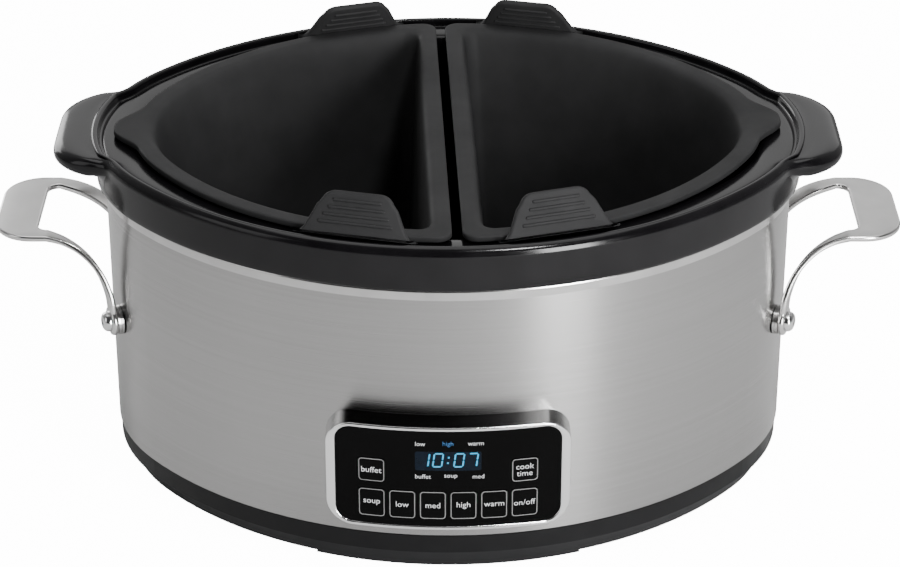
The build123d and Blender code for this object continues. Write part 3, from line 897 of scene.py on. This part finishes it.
def add_floor():
    """Plain pale floor that the camera sees as nearly white."""
    mesh = bpy.data.meshes.new("floor")
    mesh.from_pydata([(-8, -8, 0), (8, -8, 0), (8, 8, 0), (-8, 8, 0)], [], [(0, 1, 2, 3)])
    floor = bpy.data.objects.new("floor", mesh)
    bpy.context.scene.collection.objects.link(floor)
    s = Surface("floor_paper", 0.9)
    s.colour(s.noise(3, detail=3), (0.62, 0.62, 0.62), (0.66, 0.66, 0.66))
    seen = s.tree.nodes.new("ShaderNodeLightPath").outputs["Is Camera Ray"]
    lift = s.tree.nodes.new("ShaderNodeMath")
    lift.operation = "MULTIPLY"
    lift.inputs[1].default_value = 14.0
    s.tree.links.new(seen, lift.inputs[0])
    s.shader.inputs["Emission Color"].default_value = (1, 1, 1, 1)
    s.tree.links.new(lift.outputs[0], s.shader.inputs["Emission Strength"])
    paint(floor, s)


def add_world(front, back):
    """Soft surroundings, darker in front of the object than behind and above it."""
    world = bpy.data.worlds.new("world")
    bpy.context.scene.world = world
    world.use_nodes = True
    tree = world.node_tree
    coords = tree.nodes.new("ShaderNodeTexCoord")
    split = tree.nodes.new("ShaderNodeSeparateXYZ")
    spread = tree.nodes.new("ShaderNodeMapRange")
    spread.inputs["From Min"].default_value = -0.5
    spread.inputs["From Max"].default_value = 0.6
    spread.inputs["To Min"].default_value = front
    spread.inputs["To Max"].default_value = back
    tree.links.new(coords.outputs["Generated"], split.inputs[0])
    tree.links.new(split.outputs["Y"], spread.inputs["Value"])
    tree.links.new(spread.outputs[0], tree.nodes["Background"].inputs["Strength"])
    tree.nodes["Background"].inputs["Color"].default_value = (1.0, 1.0, 1.0, 1)


def softbox(name, azimuth, elevation, distance, size, power):
    """A rectangular area light. azimuth 0 is in front, positive towards +X, in degrees."""
    a, e = math.radians(azimuth), math.radians(elevation)
    data = bpy.data.lights.new(name, "AREA")
    data.shape = "RECTANGLE"
    data.size, data.size_y = size
    data.energy = power
    light = bpy.data.objects.new(name, data)
    bpy.context.scene.collection.objects.link(light)
    target = Vector((0, 0, 0.1))
    towards = Vector((math.sin(a) * math.cos(e), -math.cos(a) * math.cos(e), math.sin(e)))
    light.location = target + distance * towards
    light.rotation_euler = (target - light.location).to_track_quat("-Z", "Y").to_euler()


def set_camera():
    """Camera in front of the object, looking down on it."""
    distance = 1.5
    rise = math.radians(28.04)
    target = Vector((0.0, 0.0, 0.090))
    data = bpy.data.cameras.new("camera")
    camera = bpy.data.objects.new("camera", data)
    bpy.context.scene.collection.objects.link(camera)
    camera.location = target + distance * Vector((0, -math.cos(rise), math.sin(rise)))
    camera.rotation_euler = (math.pi / 2 - rise, 0, 0)
    data.sensor_width = 36
    data.lens = 116.316
    data.shift_x = 0.0020
    data.clip_start = 0.05
    bpy.context.scene.camera = camera


set_camera()
add_floor()
add_world(0.05, 0.45)
softbox("top", 180, 75, 1.6, (1.6, 1.2), 13)
softbox("back", 180, 25, 1.8, (2.6, 0.9), 6)
softbox("right_strip", 32, 10, 1.3, (0.34, 0.9), 37)
softbox("left_fill", -62, 20, 1.7, (0.8, 1.0), 4)
softbox("left_edge", -140, 12, 1.6, (0.7, 0.8), 9)
softbox("rim_glint", 30, 62, 1.5, (0.2, 0.2), 12)

bpy.context.view_layer.update()
